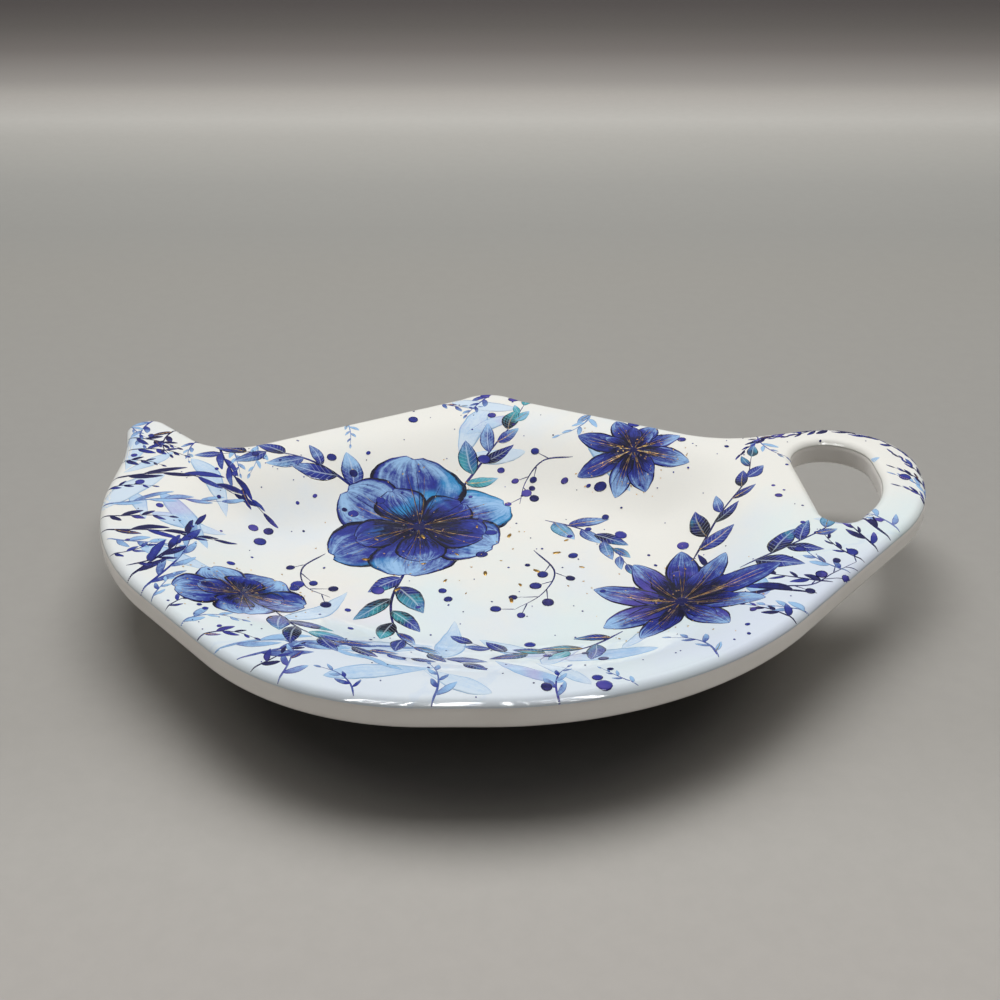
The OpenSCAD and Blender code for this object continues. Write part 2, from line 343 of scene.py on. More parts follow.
def glazedDishMesh():
    skin, turns = Skin(), np.linspace(90, 0, dish["roundSteps"] + 1)
    under = [skin.row(plan, lipTop + (sole - lipTop) * drops) for plan, drops in zip(underPlan, underDrops)]
    outer, inner = (
        edgeRows(skin, ring, side, 0, turns[::-1], False) + edgeRows(skin, ring, side, 0, turns, True)
        for ring, side in ((outline, 1), (hole, -1))
    )
    closeSide(skin, outer[0], inner[0], under, dish["underRound"], lipTop, underField, lipTop - sole)
    skin.cap(under[-1], wellAt, sole)
    skin.turnOver()
    upperSide(skin, outer, inner, 0)
    return skin.mesh("glazedDish")


enamel = {"rise": 0.03, "sink": 0.05, "wrap": 62}


# The printed enamel: a thin closed sheet that wraps round the upper edge.
def facePrintMesh():
    skin, turns = Skin(), np.linspace(enamel["wrap"], 0, 7)
    hems = []
    for depth, each in ((enamel["sink"], 2), (-enamel["rise"], 1)):
        outer, inner = (edgeRows(skin, *edge, depth, turns, True) for edge in ((outline, 1), (hole, -1)))
        upperSide(skin, outer, inner, depth, each)
        if depth > 0:
            skin.turnOver()
        hems.append((outer[0], inner[0]))
    (lowerHem, lowerHole), (upperHem, upperHole) = hems
    skin.band(lowerHem, upperHem)
    skin.band(upperHole, lowerHole)
    mesh = skin.mesh("facePrint")
    points = np.vstack(skin.points)[:, :2]
    inward = mesh.attributes.new("inward", "FLOAT", "POINT")
    inward.data.foreach_set("value", nearLine(points, outline[::2]).astype(np.float32))
    return mesh


def footRingMesh():
    skin = Skin()
    wall, rounding, top = dish["footWall"], dish["footRound"], sole + dish["footSunk"]
    turns = np.radians(np.linspace(0, 90, 7))
    corner = [(rounding * (1 - math.cos(a)), rounding * (1 - math.sin(a))) for a in turns]
    profile = [(wall, top), *((wall - back, z) for back, z in corner), *corner[::-1], (0, top)]
    rows = [skin.row(oval(np.array(dish["foot"]) - back), z) for back, z in profile]
    skin.bands(rows + rows[:1])
    return skin.mesh("footRing")


glazedDish = addPiece("glazedDish", glazedDishMesh())
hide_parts("glaze_coat", "clay_body")
facePrint = addPiece("facePrint", facePrintMesh())
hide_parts("face_print")
footRing = addPiece("footRing", footRingMesh())
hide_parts("foot_ring")
print("skins made")


# A colour as seen on screen, 0 to 255, made linear.
def tint(*seen):
    shares = [c / 255 for c in seen]
    return tuple(c / 12.92 if c < 0.04 else ((c + 0.055) / 1.055) ** 2.4 for c in shares) + (1,)


def out(node, name=None):
    return next(s for s in node.outputs if s.enabled and name in (None, s.name, s.identifier))


# Writes into a node tree. Each call adds a node and gives back its socket, and put gives back the node.
class Writer:
    def __init__(self, tree):
        self.tree = tree

    def link(self, value, socket):
        self.tree.links.new(value, socket)

    # A node with its settings, and its inputs set or linked.
    def put(self, kind, values=None, **settings):
        node = self.tree.nodes.new(kind)
        for name, value in settings.items():
            setattr(node, name, value)
        for name, value in (values or {}).items():
            named = (s for s in node.inputs if s.enabled and name in (s.name, s.identifier))
            by = node.inputs[name] if isinstance(name, int) else next(named)
            if isinstance(value, bpy.types.Node):
                value = out(value)
            if isinstance(value, bpy.types.NodeSocket):
                self.link(value, by)
            else:
                by.default_value = value
        return node

    def sums(self, operation, *values):
        return out(self.put("ShaderNodeMath", dict(enumerate(values)), operation=operation))

    def times(self, a, b):
        return self.sums("MULTIPLY", a, b)

    # a times b, plus c
    def fused(self, a, b, c):
        return self.sums("MULTIPLY_ADD", a, b, c)

    def vectors(self, operation, *values):
        return out(self.put("ShaderNodeVectorMath", dict(enumerate(values)), operation=operation))

    def scaled(self, vector, by):
        return out(self.put("ShaderNodeVectorMath", {0: vector, 3: by}, operation="SCALE"))

    # 0 at low and 1 at high
    def ramped(self, value, low, high, kind="SMOOTHSTEP"):
        values = {"Value": value, "From Min": low, "From Max": high}
        return out(self.put("ShaderNodeMapRange", values, interpolation_type=kind), "Result")

    def mixed(self, share, first, second):
        values = {"Factor_Float": share, "A_Color": first, "B_Color": second}
        return out(self.put("ShaderNodeMix", values, data_type="RGBA"), "Result_Color")

    def noise(self, place, scale, detail=3, roughness=0.5, distortion=0.0):
        values = {"Vector": place, "Scale": scale, "Detail": detail, "Roughness": roughness}
        return out(self.put("ShaderNodeTexNoise", {**values, "Distortion": distortion}), "Fac")

    # A value with some noise on it.
    def stirred(self, value, cloud, much):
        return self.fused(self.sums("SUBTRACT", cloud, 0.5), much, value)

    def axes(self, vector):
        return self.put("ShaderNodeSeparateXYZ", {"Vector": vector}).outputs

    def attribute(self, name):
        return out(self.put("ShaderNodeAttribute", attribute_name=name), "Fac")

    def stored(self, name, kind="FLOAT"):
        return out(self.put("GeometryNodeInputNamedAttribute", {"Name": name}, data_type=kind), "Attribute")


# A new group's writer, with what comes in and what goes out
def newGroup(name, kind, inputs, outputs):
    tree = bpy.data.node_groups.new(name, kind)
    for way, sockets in (("INPUT", inputs), ("OUTPUT", outputs)):
        for socket, of in sockets.items():
            tree.interface.new_socket(socket, in_out=way, socket_type="NodeSocket" + of)
    return Writer(tree), tree.nodes.new("NodeGroupInput").outputs, tree.nodes.new("NodeGroupOutput").inputs


# A new material's writer, which knows the shader's inputs, and the object's own coordinates
def newMaterial(name):
    made = bpy.data.materials.new(name)
    made.use_nodes = True
    t = Writer(made.node_tree)
    t.material, t.shader = made, made.node_tree.nodes["Principled BSDF"].inputs
    return t, out(t.put("ShaderNodeTexCoord"), "Object")


def finished(t, colour, roughness, relief, strength, distance):
    bump = t.put("ShaderNodeBump", {"Strength": strength, "Distance": distance, "Height": relief})
    for name, value in (("Base Color", colour), ("Roughness", roughness), ("Normal", out(bump))):
        t.link(value, t.shader[name])
    return t.material


inks = ("Deep", "Middle", "Pale", "Accent")


# Watercolour on a blade: pigment pools at the edge, runs in streaks and settles in grains.
def paintGroup():
    numbers = ("Across", "Along", "Tone", "Fade", "Pool", "Tip", "Streaks", "Bloom", "Bloom Scale")
    inputs = {"Place": "Vector", **dict.fromkeys(inks, "Color"), **dict.fromkeys(numbers, "Float")}
    t, given, result = newGroup("waterPaint", "ShaderNodeTree", inputs, {"Colour": "Color"})
    across, along, tone = given["Across"], given["Along"], given["Tone"]
    bloom = t.noise(given["Place"], given["Bloom Scale"], 4, 0.6, 0.5)
    grain = t.noise(given["Place"], 1900, 4, 0.7)
    lane = {"X": t.times(across, 9.0), "Y": t.times(along, 0.9), "Z": t.times(tone, 61.0)}
    streak = t.noise(out(t.put("ShaderNodeCombineXYZ", lane)), 1.7, 4, 0.68)
    side = t.sums("ABSOLUTE", t.fused(across, 2.0, -1.0))
    tip = t.times(t.sums("POWER", along, 11.0), given["Tip"])
    edge = t.stirred(t.sums("MAXIMUM", side, tip), grain, 0.2)
    pool = t.times(t.ramped(edge, 0.82, 0.97), given["Pool"])
    load = t.stirred(tone, bloom, given["Bloom"])
    load = t.stirred(load, grain, 0.42)
    load = t.stirred(load, streak, given["Streaks"])
    load = t.sums("SUBTRACT", t.fused(along, given["Fade"], load), pool)
    hue = t.ramped(t.noise(given["Place"], 85, 2, 0.5, 0.6), 0.5, 0.66)
    middle = t.mixed(hue, given["Middle"], given["Accent"])
    colour = t.mixed(t.ramped(load, 0.08, 0.46), given["Deep"], middle)
    colour = t.mixed(t.ramped(load, 0.46, 0.98), colour, given["Pale"])
    t.link(colour, result["Colour"])
    return t.tree


# The glaze's surface: soft waves, fine peel, and smears that dull it.
def glazeGroup():
    inputs = {"Place": "Vector", "Dullest": "Float", "Glossiest": "Float"}
    results = {"Height": "Float", "Roughness": "Float"}
    t, given, result = newGroup("glazeSkin", "ShaderNodeTree", inputs, results)
    waves = t.noise(given["Place"], 45, 2, 0.4)
    peel = t.noise(given["Place"], 420, 2, 0.5)
    t.link(t.fused(peel, 0.1, waves), result["Height"])
    smear = t.ramped(t.noise(given["Place"], 90, 4, 0.6), 0.35, 0.75)
    span = t.sums("SUBTRACT", given["Dullest"], given["Glossiest"])
    t.link(t.fused(smear, span, given["Glossiest"]), result["Roughness"])
    return t.tree


waterPaint = paintGroup()
glazeSkin = glazeGroup()


def glossed(t, place, colour, dullest=0.11, glossiest=0.05, strength=0.1):
    values = {"Place": place, "Dullest": dullest, "Glossiest": glossiest}
    skin = t.put("ShaderNodeGroup", values, node_tree=glazeSkin).outputs
    t.shader["IOR"].default_value = 1.52
    return finished(t, colour, skin["Roughness"], skin["Height"], strength, 0.0002)


pigments = {
    "night": tint(7, 8, 38), "navy": tint(17, 20, 80), "cobalt": tint(38, 51, 148),
    "cyan": tint(44, 140, 200), "teal": tint(66, 164, 178), "violet": tint(84, 74, 166),
    "lilac": tint(178, 178, 224), "sky": tint(156, 196, 236), "ice": tint(212, 228, 243),
}
ground = {
    "white": tint(240, 239, 233), "blue": tint(226, 235, 243), "green": tint(226, 239, 241),
    "violet": tint(229, 231, 242), "deep": tint(221, 231, 243), "deepRight": tint(219, 227, 243),
    "tide": tint(178, 204, 238), "grain": tint(150, 176, 216),
}
glaze = {"shade": tint(240, 236, 231), "light": tint(246, 243, 239), "speck": tint(196, 186, 170)}
clay = {"shade": tint(214, 205, 190), "light": tint(232, 225, 212), "stain": tint(186, 172, 152)}
lustre = {"shade": tint(204, 150, 66), "light": tint(244, 212, 134)}


# Printed watercolour under gloss. A look with ribs has a light midrib and side ribs, as on a leaf.
def paintMaterial(look):
    t, place = newMaterial(look["paint"])
    blade = t.axes(t.put("ShaderNodeUVMap", uv_map="blade"))
    values = {"Place": place, "Across": blade["X"], "Along": blade["Y"], "Tone": t.attribute("tone")}
    values.update({name: pigments[look[name.lower()]] for name in inks})
    values.update({name: look[name.lower()] for name in ("Fade", "Pool", "Tip", "Streaks", "Bloom")})
    values["Bloom Scale"] = look["bloomScale"]
    colour = t.put("ShaderNodeGroup", values, node_tree=waterPaint).outputs["Colour"]
    if "ribs" in look:
        edge = t.sums("ABSOLUTE", t.fused(blade["X"], 2.0, -1.0))
        beat = t.sums("PINGPONG", t.times(t.fused(edge, -0.16, blade["Y"]), look["ribs"]), 0.5)
        ribs = t.sums("MAXIMUM", t.ramped(edge, 0.12, 0.03), t.times(t.ramped(beat, 0.11, 0.03), 0.5))
        colour = t.mixed(t.times(ribs, look["ribLight"]), colour, pigments["ice"])
    return glossed(t, place, colour)


# The print's ground: warm white, with pale washes towards the front and their soft tide lines.
def facePaint():
    t, place = newMaterial("printedGround")
    sides = t.axes(place)
    broad = t.noise(place, 24, 4, 0.55, 0.5)
    close = t.noise(place, 90, 6, 0.62, 0.4)
    hue = t.noise(t.vectors("ADD", place, (0.31, 0.17, 0.0)), 34, 2, 0.5)
    grain = t.noise(place, 2100, 3, 0.7)
    nearEdge = t.ramped(t.attribute("inward"), 22.0, 0.0)
    front = t.ramped(sides["Y"], 0.022, -0.034)
    right = t.ramped(sides["X"], 0.012, 0.05)
    load = t.fused(front, 0.34, broad)
    load = t.fused(t.times(nearEdge, front), 0.1, load)
    load = t.fused(t.times(right, front), 0.12, load)
    load = t.stirred(load, close, 0.28)
    wash = t.mixed(t.ramped(hue, 0.4, 0.58), ground["blue"], ground["green"])
    wash = t.mixed(t.ramped(hue, 0.58, 0.68), wash, ground["violet"])
    deeper = t.mixed(right, ground["deep"], ground["deepRight"])
    colour = t.mixed(t.ramped(load, 0.5, 0.86), ground["white"], wash)
    colour = t.mixed(t.ramped(load, 0.84, 1.12), colour, deeper)
    tide = t.ramped(t.sums("ABSOLUTE", t.sums("SUBTRACT", load, 0.88)), 0.016, 0.0)
    colour = t.mixed(t.times(tide, 0.18), colour, ground["tide"])
    colour = t.mixed(t.times(t.ramped(grain, 0.5, 0.8), 0.05), colour, ground["grain"])
    return glossed(t, place, colour)


def glazeMaterial():
    t, place = newMaterial("whiteGlaze")
    cloud = t.noise(place, 60, 4, 0.55)
    speck = t.ramped(t.noise(place, 1900, 1, 0.5), 0.80, 0.84)
    colour = t.mixed(t.ramped(cloud, 0.35, 0.7), glaze["shade"], glaze["light"])
    colour = t.mixed(t.times(speck, 0.5), colour, glaze["speck"])
    return glossed(t, place, colour, 0.1, 0.04, 0.12)


def clayMaterial():
    t, place = newMaterial("bareClay")
    grain = t.noise(place, 900, 6, 0.7)
    stain = t.noise(place, 110, 4, 0.6)
    colour = t.mixed(t.ramped(grain, 0.3, 0.7), clay["shade"], clay["light"])
    colour = t.mixed(t.times(t.ramped(stain, 0.5, 0.75), 0.5), colour, clay["stain"])
    return finished(t, colour, t.fused(grain, 0.2, 0.68), grain, 0.5, 0.0001)


def goldMaterial():
    t, place = newMaterial("goldLustre")
    t.shader["Metallic"].default_value = 1.0
    rub = t.noise(place, 1400, 4, 0.65)
    colour = t.mixed(t.ramped(rub, 0.35, 0.7), lustre["shade"], lustre["light"])
    return finished(t, colour, t.fused(rub, 0.3, 0.2), rub, 0.5, 0.0001)


glazedDish.data.materials.append(glazeMaterial())
facePrint.data.materials.append(facePaint())
footRing.data.materials.append(clayMaterial())
print("ground colours mixed")


# A flat blade, one unit long and wide. Its map holds how far across and along each point lies.
def bladeObject(name, rows, columns, widest, blunt, notch=0.0, beat=0.0):
    turn = np.linspace(0, math.pi, rows + 1)
    along = (1 - np.cos(turn)) / 4 + turn / (2 * math.pi)  # closer together at both ends
    across = np.linspace(-1, 1, columns + 1)
    points, spots = [(0, 0, 0)], [(0.5, 0.0)]
    for v in along[1:-1]:
        half = 0.5 * math.sin(math.pi * v**widest) ** blunt * (1 - beat + beat * math.sin(31 * v))
        for a in across:
            points.append((v * (1 - notch * (1 - a * a) * v**6), a * half, 0))
            spots.append((0.5 + 0.5 * a, v))
    points.append((1 - notch, 0, 0))
    spots.append((0.5, 1.0))
    wide, last = columns + 1, len(points) - 1
    faces = [(0, 1 + c, 2 + c) for c in range(columns)]
    for first in range(1, last - wide, wide):
        faces += [(first + c, first + wide + c, first + wide + c + 1, first + c + 1) for c in range(columns)]
    faces += [(last - wide + c, last, last - wide + c + 1) for c in range(columns)]
    return mappedObject(name, points, faces, spots)


def discObject(name, sides, rings, sharp=0.0):
    points, spots, faces = [(0, 0, 0)], [(0.5, 0.0)], []
    for r in range(1, rings + 1):
        for k in range(sides):
            a = 2 * math.pi * k / sides
            reach = 0.5 * r / rings * (1 + sharp * math.cos(2 * a + 1) * math.sin(3 * a))
            points.append((reach * math.cos(a), reach * math.sin(a), 0))
            spots.append((0.5 + 0.5 * r / rings, k / sides))
    for k in range(sides):
        following = (k + 1) % sides
        faces.append((0, 1 + k, 1 + following))
        for r in range(rings - 1):
            low = 1 + r * sides
            faces.append((low + k, low + sides + k, low + sides + following, low + following))
    return mappedObject(name, points, faces, spots)


def mappedObject(name, points, faces, spots):
    mesh = bpy.data.meshes.new(name)
    mesh.from_pydata(points, [], faces)
    blade = mesh.uv_layers.new(name="blade")
    corners = np.zeros(len(mesh.loops), np.int32)
    mesh.loops.foreach_get("vertex_index", corners)
    blade.data.foreach_set("uv", np.array(spots, np.float32)[corners].ravel())
    return newObject(name, mesh)


# In metres: how high the rays down to the face start, how far they reach, and the rim's level
laying = {"from": 0.03, "reach": 0.05, "rim": 0.0142}


# Lays flat shapes down on the face from above. What misses it is cut away along its rim.
def layDown(t, given, flat, rise):
    plan = t.vectors("MULTIPLY", out(t.put("GeometryNodeInputPosition")), (1, 1, 0))
    face = out(t.put("GeometryNodeObjectInfo", {"Object": given["Face"]}), "Geometry")
    down = {"Source Position": t.vectors("ADD", plan, (0, 0, laying["from"])), "Ray Direction": (0, 0, -1)}
    ray = t.put("GeometryNodeRaycast", {"Target Geometry": face, "Ray Length": laying["reach"], **down})
    beside = t.vectors("ADD", plan, (0, 0, laying["rim"]))
    rim = t.put("GeometryNodeProximity", {"Target": face, "Source Position": beside})
    hit = out(ray, "Is Hit")
    lifted = t.scaled(out(ray, "Hit Normal"), rise)
    landed = t.vectors("ADD", out(ray, "Hit Position"), lifted)
    spots = {"Switch": hit, "False": out(rim, "Position"), "True": landed}
    at = t.put("GeometryNodeSwitch", spots, input_type="VECTOR")
    missed = t.put("FunctionNodeBooleanMath", {0: hit}, operation="NOT")
    marks = {"Geometry": flat, "Name": "missed", "Value": missed}
    marked = t.put("GeometryNodeStoreNamedAttribute", marks, data_type="BOOLEAN")
    moved = t.put("GeometryNodeSetPosition", {"Geometry": marked, "Position": at})
    lost = {"Geometry": moved, "Selection": t.stored("missed", "BOOLEAN")}
    kept = t.put("GeometryNodeDeleteGeometry", lost, domain="FACE")
    kept = t.put("GeometryNodeSetShadeSmooth", {"Geometry": kept, "Shade Smooth": True})
    kept = t.put("GeometryNodeRealizeInstances", {"Geometry": kept})
    return out(t.put("GeometryNodeSetMaterial", {"Geometry": kept, "Material": given["Paint"]}))


# Puts a bent, slightly ragged blade on every point and lays it on the face.
def layTree():
    inputs = {"Geometry": "Geometry", "Blade": "Object", "Face": "Object", "Paint": "Material"}
    inputs.update(dict.fromkeys(("Lift", "Layer Gap", "Ragged", "Ragged Scale"), "Float"))
    t, given, result = newGroup("layOnFace", "GeometryNodeTree", inputs, {"Geometry": "Geometry"})
    blade = t.put("GeometryNodeObjectInfo", {"Object": given["Blade"]})
    facing, size = t.stored("turn"), t.stored("size", "FLOAT_VECTOR")
    turn = t.put("FunctionNodeEulerToRotation", {"Euler": t.put("ShaderNodeCombineXYZ", {"Z": facing})})
    spots = {"Points": given["Geometry"], "Instance": out(blade, "Geometry"), "Rotation": turn, "Scale": size}
    spread = t.put("GeometryNodeInstanceOnPoints", spots)
    flat = t.put("GeometryNodeRealizeInstances", {"Geometry": spread})

    along = t.axes(t.stored("blade", "FLOAT_VECTOR"))["Y"]
    length = t.axes(size)["X"]
    sway = t.times(t.times(t.stored("bend"), length), t.sums("POWER", along, 2.0))
    left = t.times(t.sums("SINE", facing), -1.0)
    aside = t.put("ShaderNodeCombineXYZ", {"X": left, "Y": t.sums("COSINE", facing)})
    bent = t.scaled(out(aside), sway)
    flat = t.put("GeometryNodeSetPosition", {"Geometry": flat, "Offset": bent})

    where = out(t.put("GeometryNodeInputPosition"))
    grit = t.put("ShaderNodeTexNoise", {"Vector": where, "Scale": given["Ragged Scale"], "Detail": 2.0})
    jolt = t.vectors("SUBTRACT", out(grit, "Color"), (0.5, 0.5, 0.5))
    jolt = t.scaled(jolt, given["Ragged"])
    level = t.vectors("MULTIPLY", jolt, (1, 1, 0))
    flat = t.put("GeometryNodeSetPosition", {"Geometry": flat, "Offset": level})
    rise = t.fused(t.stored("layer"), given["Layer Gap"], given["Lift"])
    t.link(layDown(t, given, out(flat), rise), result["Geometry"])
    return t.tree


# Draws a flat line along every path.
def stemTree():
    inputs = {"Geometry": "Geometry", "Face": "Object", "Paint": "Material", "Lift": "Float", "Step": "Float"}
    t, given, result = newGroup("drawStems", "GeometryNodeTree", inputs, {"Geometry": "Geometry"})
    line = t.put("GeometryNodeMeshToCurve", {"Mesh": given["Geometry"]})
    line = t.put("GeometryNodeResampleCurve", {"Curve": line}, mode="LENGTH")
    t.link(given["Step"], next(s for s in line.inputs if s.name == "Length"))
    line = t.put("GeometryNodeSetCurveNormal", {"Curve": line}, mode="Z_UP")
    profile = t.put("GeometryNodeCurvePrimitiveLine", {"Start": (-0.5, 0, 0), "End": (0.5, 0, 0)})
    shape = {"Curve": line, "Profile Curve": profile, "Scale": t.stored("thick")}
    flat = t.put("GeometryNodeCurveToMesh", shape)
    t.link(layDown(t, given, out(flat), given["Lift"]), result["Geometry"])
    return t.tree


layOnFace = layTree()
drawStems = stemTree()


filmThickness = 0.03


# Runs a node tree on a mesh, thickens the result downwards and keeps it as a plain piece.
def grown(name, source, tree, settings):
    carrier = newObject(name + "Carrier", source)
    nodes = carrier.modifiers.new("print", "NODES")
    nodes.node_group = tree
    for item in tree.interface.items_tree:
        if item.in_out == "INPUT" and item.name in settings:
            nodes[item.identifier] = settings[item.name]
    thick = carrier.modifiers.new("thick", "SOLIDIFY")
    thick.thickness, thick.offset = filmThickness * mm, -1
    graph = bpy.context.evaluated_depsgraph_get()
    whole = carrier.evaluated_get(graph)
    mesh = bpy.data.meshes.new_from_object(whole, preserve_all_data_layers=True, depsgraph=graph)
    mesh.name = name
    carrier.modifiers.clear()
    bpy.data.objects.remove(carrier)
    for spare in ("missed", "turn", "size", "bend", "layer", "thick"):
        if spare in mesh.attributes:
            mesh.attributes.remove(mesh.attributes[spare])
    return addPiece(name, mesh)


# The design: where each stroke goes, in millimetres
seeded = np.random.default_rng(23)
draw = seeded.uniform
strokes = {kind: [] for kind in ("pale", "leaf", "frond", "petal", "ray", "ink", "dot", "fleck", "vein")}
stems = []


def aimed(turn):
    return np.array([math.cos(turn), math.sin(turn)])


def stroke(kind, at, turn, length, width, bend=0.0, tone=0.3, layer=None):
    layer = draw() if layer is None else layer
    strokes[kind].append((at[0], at[1], turn, length, width, bend, tone, layer))


# A smooth path through a few points.
def flowing(points, gap=0.8):
    points = np.array(points, float)
    ends = np.vstack([2 * points[0] - points[1], points, 2 * points[-1] - points[-2]])
    share = np.linspace(0, 1, 24, endpoint=False)[:, None]
    pieces = []
    for a, b, c, d in zip(ends, ends[1:], ends[2:], ends[3:]):
        bow = (c - a) * share + (2 * a - 5 * b + 4 * c - d) * share**2 + (3 * b - a - 3 * c + d) * share**3
        pieces.append(b + 0.5 * bow)
    return evenly(np.vstack(pieces + [points[-1:]]), gap)


# How a stem's leaves stand, and how far they spread in degrees
sprayLook = {
    "kind": "leaf", "gap": 3.0, "length": 8.0, "width": 0.45, "spread": 48,
    "taper": 0.45, "thick": 0.5, "start": 0.12, "gilded": 0.35,
}
fernLook = {
    "kind": "frond", "gap": 1.35, "length": 3.4, "width": 0.34, "spread": 52,
    "taper": 0.62, "thick": 0.32, "start": 0.22, "gilded": 0.06,
}
willowLook = {
    "kind": "frond", "gap": 2.1, "length": 5.6, "width": 0.21, "spread": 27,
    "taper": 0.4, "thick": 0.38, "start": 0.16, "gilded": 0.06,
}
leafBend = 0.18


# A stem with leaves on both sides in turn and one at its tip.
def leafyStem(points, look, tone=0.3, size=1.0):
    path = flowing(points)
    way = np.gradient(path, axis=0)
    bearing = np.arctan2(way[:, 1], way[:, 0])
    stems.append((path, look["thick"] * size, tone))
    grownFrom = 1 - look["start"]
    count = max(3, int(len(path) * 0.8 * grownFrom / (look["gap"] * size)))
    for i in range(count):
        share = look["start"] + grownFrom * i / count
        k = int(share * (len(path) - 1))
        length = size * look["length"] * (1 - look["taper"] * share) * draw(0.72, 1.2)
        side = 1 if i % 2 else -1
        spread = math.radians(look["spread"] * draw(0.7, 1.25) * (1 - 0.35 * share))
        turn, shade = bearing[k] + side * spread, tone + draw(-0.2, 0.26)
        width = length * look["width"] * draw(0.8, 1.2)
        over = 0.8 * (1 - min(max(tone, 0), 1)) + 0.2 * i / count
        stroke(look["kind"], path[k], turn, length, width, -side * leafBend, shade, over)
        if draw() < look["gilded"]:
            stroke("vein", path[k], turn, length * 0.86, 0.16, -side * leafBend, 0.5)
    last = size * look["length"] * (1 - look["taper"])
    stroke(look["kind"], path[-1], bearing[-1], last, last * look["width"], 0, tone)


# A flower: shares of its radius, and how many lines, stamens and dots
flower = {
    "inner": 0.62, "lines": 7, "fan": 0.26, "gilt": (-0.11, 0.13), "stamens": 30, "eye": 0.2, "eyeDots": 22,
}
penWidth = {"line": 0.16, "gilt": 0.13, "stamen": 0.15}


# An open flower: rings of petals, fine lines drawn over them, and a dark eye with stamens.
def blossom(at, radius, petals, turn, tone, kind, fullness):
    at = np.array(at, float)
    for ring, (count, size, dark) in enumerate(((petals, 1.0, 0.0), (petals - 1, flower["inner"], -0.2))):
        for i in range(count):
            way = turn + 0.4 * ring + 2 * math.pi * i / count + draw(-0.12, 0.12)
            length = radius * size * draw(0.84, 1.08)
            width = length * draw(0.84, 1.06) * fullness
            base = at + 0.06 * radius * aimed(way)
            curl = draw(-0.1, 0.1)
            shade = tone + dark + draw(-0.12, 0.16)
            stroke(kind, base, way, length, width, curl, shade, (ring * petals + i) / (2 * petals))
            for fan in np.linspace(-flower["fan"], flower["fan"], flower["lines"]):
                lean = fan * fullness
                reach = length * draw(0.42, 0.86) * math.cos(1.6 * lean)
                bend = curl + lean * 0.5
                stroke("ink", base, way + lean, reach, penWidth["line"], bend, draw(0.0, 0.3))
            if ring == 0:
                for fan in flower["gilt"]:
                    stroke("vein", base, way + fan * fullness, length * 0.8, penWidth["gilt"], curl, 0.5)
    for i in range(flower["stamens"]):
        way = draw(0, 2 * math.pi)
        reach = radius * draw(0.16, 0.32)
        tip = at + reach * aimed(way)
        stroke("ink", at, way, reach, penWidth["stamen"], 0.0, 0.0)
        stroke("dot", tip, 0, 0.5, 0.45, 0, 0.0)
        if i % 2:
            stroke("fleck", tip + 0.1, way, 0.3, 0.26)
    stroke("dot", at, 0, radius * flower["eye"], radius * flower["eye"], 0, -0.1)
    for _ in range(flower["eyeDots"]):
        reach = radius * 0.12 * math.sqrt(draw())
        stroke("dot", at + reach * aimed(draw(0, 2 * math.pi)), 0, 0.85, 0.85, 0, -0.1)


berry = {"stem": 0.34, "stalk": 0.2, "long": (2.2, 3.8), "size": (1.2, 2.0), "tone": 0.2}


# A thin stem that forks into short stalks with a berry on each.
def berries(points):
    path, tone = flowing(points), berry["tone"]
    stems.append((path, berry["stem"], tone))
    way = np.gradient(path, axis=0)
    for i, k in enumerate(range(len(path) // 4, len(path), 3)):
        side = 1 if i % 2 else -1
        turn = math.atan2(way[k][1], way[k][0]) + side * draw(0.5, 0.95)
        tip = path[k] + draw(*berry["long"]) * aimed(turn)
        stems.append((flowing([path[k], tip], 0.4), berry["stalk"], tone))
        size = draw(*berry["size"])
        stroke("dot", tip, turn, size, size * 0.9, 0, tone + draw(-0.15, 0.25))


blossoms = [
    # place, radius, petals, turn, tone, kind and width of petal
    ((-15, 8), 15.0, 6, 0.5, 0.12, "petal", 1.0),
    ((24, -14), 13.5, 9, 0.1, 0.1, "ray", 0.44),
    ((-39, -15), 9.0, 5, 1.1, 0.14, "petal", 1.1),
    ((20, 24), 9.0, 8, 0.3, 0.12, "ray", 0.5),
]
leafySprays = [
    ([(-9, 18), (-4, 27), (0, 33), (2, 39)], 0.9),
    ([(-24, 15), (-32, 20), (-40, 22), (-48, 21)], 1.0),
    ([(-16, -3), (-18, -14), (-15, -25), (-7, -33)], 1.0),
    ([(33, -9), (40, -7), (46, -3), (50, 2)], 0.85),
    ([(15, -21), (8, -27), (0, -28), (-6, -24)], 0.9),
    ([(27, -3), (32, 6), (37, 13), (39, 20)], 0.9),
    ([(-34, -19), (-29, -26), (-22, -30), (-14, -32)], 0.8),
    ([(5, 10), (11, 7), (15, 2), (17, -3)], 0.8),
]
berrySprays = [
    [(-29, 0), (-32, -4), (-31, -9), (-27, -12)],
    [(3, 1), (6, -5), (4, -11), (0, -15)],
    [(10, 24), (5, 24), (2, 20), (1, 15)],
    [(35, -17), (41, -18), (45, -15), (49, -12)],
]
for each in blossoms:
    blossom(*each)
for points, size in leafySprays:
    leafyStem(points, sprayLook, draw(0.12, 0.3), size)
for points in berrySprays:
    berries(points)

edgeWay = np.roll(outline, -1, 0) - np.roll(outline, 1, 0)
inwards = np.c_[-edgeWay[:, 1], edgeWay[:, 0]] / np.linalg.norm(edgeWay, axis=1)[:, None]
sprigs = {
    "gap": (2.6, 4.6), "sparse": (9, 19), "start": (-0.8, 1.6),
    "tall": (15, 23), "low": (6, 11), "strap": (7, 11),
}


